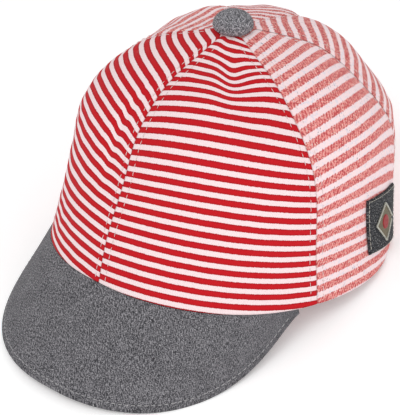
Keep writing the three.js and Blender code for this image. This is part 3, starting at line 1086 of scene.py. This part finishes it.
LABEL_BORDER = 0.6
LABEL_SIDE_POINTS = 24
LABEL_NORMAL_UP = 0.15


def stitch_points(middle, direction, normal, stitch):
    """The points of one spindle, section by section from its tail to its head."""
    sideways = np.cross(direction, normal)
    turns = 2 * np.pi * np.arange(STITCH_SIDES) / STITCH_SIDES
    points = []
    for section in STITCH_PROFILE:
        centre = middle + direction * section["forward"] * stitch["length"]
        centre = centre + normal * section["lift"] * stitch["thickness"]
        for turn in turns:
            around = sideways * np.cos(turn) + normal * np.sin(turn)
            points.append(centre + around * section["girth"] * stitch["thickness"] / 2)
    return points


def add_stitches(name, rows, stitch, material):
    """One mesh of all the stitches along rows of points with normals."""
    points = []
    faces = []
    stitch_faces = ring_faces(len(STITCH_PROFILE), STITCH_SIDES)
    for line, normals in rows:
        along = arc_lengths(line, 0)

        def at(distance, values):
            return np.array([np.interp(distance, along, values[:, axis]) for axis in range(3)])

        for k in range(int(along[-1] / stitch["spacing"])):
            middle = (k + 0.5) * stitch["spacing"]
            tail = at(middle - stitch["length"] / 2, line)
            direction = unit(at(middle + stitch["length"] / 2, line) - tail)
            start = len(points)
            points += stitch_points(at(middle, line), direction, unit(at(middle, normals)), stitch)
            faces += [tuple(start + v for v in face) for face in stitch_faces]
    mesh_piece(name, at_rest(np.array(points)), faces, material)


def seam_row(seam, offset):
    """A row of stitches beside a seam of the crown, offset millimetres round from it."""
    up = np.linspace(SEAM_ROW_START, SEAM_ROW_END, SEAM_ROW_POINTS)
    around = smooth_crown(seam, up)
    angle = seam + np.degrees(offset / np.hypot(around[:, 0], around[:, 1] - APEX_BACK))
    angle = (angle + 180) % 360 - 180
    return crown_point(angle, up, CROWN_STITCH["lift"]), crown_normal(angle, up)


def peak_row():
    """The row of stitches round the peak, in its groove."""
    side = np.linspace(-PEAK_ROW_SIDE, PEAK_ROW_SIDE, PEAK_ROW_POINTS)
    distance = peak_length(side) - PEAK_STITCH_INSET
    inside = distance > PEAK_ROW_START
    side, distance = side[inside], distance[inside]
    normal = peak_normal(side, distance)
    return peak_top(side, distance) - normal * (PEAK_GROOVE - PEAK_STITCH["lift"]), normal


def label_line(across, share, lift):
    """A closed line on the label, through places given as shares of its width and height."""
    corners = np.array([*zip(across, share), (across[0], share[0])], float)
    sides = [
        np.linspace(corners[i], corners[i + 1], LABEL_SIDE_POINTS, endpoint=False) for i in range(len(across))
    ]
    line = np.concatenate(sides)
    angle = LABEL_START + line[:, 0] * label_angle
    normals = crown_normal(angle, np.full_like(angle, LABEL_NORMAL_UP))
    return label_point(line[:, 0], line[:, 1], LABEL_TOP + lift), normals


def border_row():
    """The row of stitches just inside the label's edge."""
    x = LABEL_BORDER / LABEL_WIDTH
    y = LABEL_BORDER / LABEL_HEIGHT
    return label_line([x, 1 - x, 1 - x, x], [y, y, 1 - y, 1 - y], BORDER_STITCH["lift"])


def satin_row():
    """The stitches laid end to end along the lozenge's outline, on top of the patch."""
    across, share = motif_places(lozenge, LOZENGE_HALF_WIDTH, LOZENGE_HALF_HEIGHT, 1)
    corners = slice(None, None, MOTIF_STEPS // 4)
    line, normals = label_line(list(across[corners]), list(share[corners]), SATIN_STITCH["lift"])
    return line + normals * MOTIF_LIFT, normals


seam_rows = [seam_row(row["seam"], offset) for row in STITCH_ROWS for offset in row["offsets"]]
add_stitches("crown_stitches", seam_rows, CROWN_STITCH, materials["white_thread"])
add_stitches("peak_stitches", [peak_row()], PEAK_STITCH, materials["grey_thread"])
add_stitches("label_border", [border_row()], BORDER_STITCH, materials["pale_thread"])
add_stitches("label_outline", [satin_row()], SATIN_STITCH, materials["pale_thread"])

# Floor and light

FLOOR_SIZE = 12
FLOOR_COLOUR = (0.97, 0.97, 0.97, 1.0)
FLOOR_ROUGHNESS = 0.9
FLOOR_GLOW = 0.2
SKY_STRENGTH = 0.7
WHITE_LIGHT = (1, 1, 1, 1)
CAP_MIDDLE = (0, 0, 0.05)
LIGHTS = [
    {"name": "key", "place": (0.4, -0.8, 1.55), "size": 1.1, "power": 7.2},
    {"name": "fill", "place": (1.3, -0.2, 0.7), "size": 1.0, "power": 2.5},
]


def add_floor():
    mesh = bpy.data.meshes.new("floor")
    half = FLOOR_SIZE / 2
    corners = [(-half, -half, 0), (half, -half, 0), (half, half, 0), (-half, half, 0)]
    mesh.from_pydata(corners, [], [(0, 1, 2, 3)])
    nodes = Nodes("floor", FLOOR_ROUGHNESS)
    nodes.colour(FLOOR_COLOUR)
    nodes.shader.inputs["Emission Color"].default_value = WHITE_LIGHT
    nodes.shader.inputs["Emission Strength"].default_value = FLOOR_GLOW
    mesh.materials.append(nodes.material)
    floor = bpy.data.objects.new("floor", mesh)
    bpy.context.scene.collection.objects.link(floor)


def add_sky():
    world = bpy.data.worlds.new("studio")
    world.use_nodes = True
    background = world.node_tree.nodes["Background"]
    background.inputs["Color"].default_value = WHITE_LIGHT
    background.inputs["Strength"].default_value = SKY_STRENGTH
    bpy.context.scene.world = world


def aim(thing, direction):
    """Turns a light so that it shines in a direction."""
    back = -Vector(direction).normalized()
    right = Vector((0, 0, 1)).cross(back).normalized()
    thing.rotation_euler = Matrix((right, back.cross(right), back)).transposed().to_euler()


def add_light(name, place, size, power):
    """A round soft light that shines on the middle of the cap."""
    light = bpy.data.lights.new(name, "AREA")
    light.shape = "DISK"
    light.size = size
    light.energy = power
    lamp = bpy.data.objects.new(name, light)
    lamp.location = place
    aim(lamp, np.array(CAP_MIDDLE) - np.array(place))
    bpy.context.scene.collection.objects.link(lamp)


add_floor()
add_sky()
for light in LIGHTS:
    add_light(**light)

# The picture's own tones are plain display values, not a film curve
bpy.context.scene.view_settings.view_transform = "Standard"

# The camera that fits the photo was found round the level cap, so it is tipped with the cap
CAMERA_AZIMUTH = 42.096
CAMERA_ELEVATION = 30.835
CAMERA_ROLL = -0.096
CAMERA_DISTANCE = 1070
CAMERA_RIGHT = -13.509
CAMERA_UP = -36.345
CAMERA_TARGET_HEIGHT = 48.15
CAMERA_REACH = 20
FOCAL_PIXELS = 2376.161
PHOTO_HEIGHT = 415
SENSOR = 36


def add_camera():
    azimuth, elevation, roll = np.radians([CAMERA_AZIMUTH, CAMERA_ELEVATION, CAMERA_ROLL])
    level = np.array([np.cos(azimuth), np.sin(azimuth), 0])
    outwards = np.array([np.sin(azimuth), -np.cos(azimuth), 0])
    back = outwards * np.cos(elevation) + np.array([0, 0, np.sin(elevation)])
    upright = np.cross(back, level)
    right = level * np.cos(roll) + upright * np.sin(roll)
    up = upright * np.cos(roll) - level * np.sin(roll)
    target = np.array([0, 0, CAMERA_TARGET_HEIGHT]) + right * CAMERA_RIGHT + up * CAMERA_UP
    place = (tipped(target + back * CAMERA_DISTANCE, pitch) + shift) * MM
    data = bpy.data.cameras.new("camera")
    data.sensor_width = SENSOR
    data.lens = FOCAL_PIXELS / PHOTO_HEIGHT * SENSOR
    data.clip_end = CAMERA_REACH
    camera = bpy.data.objects.new("camera", data)
    axes = Matrix([Vector(tipped(axis, pitch)) for axis in (right, up, back)]).transposed()
    camera.matrix_world = Matrix.Translation(Vector(place)) @ axes.to_4x4()
    bpy.context.scene.collection.objects.link(camera)
    bpy.context.scene.camera = camera


add_camera()
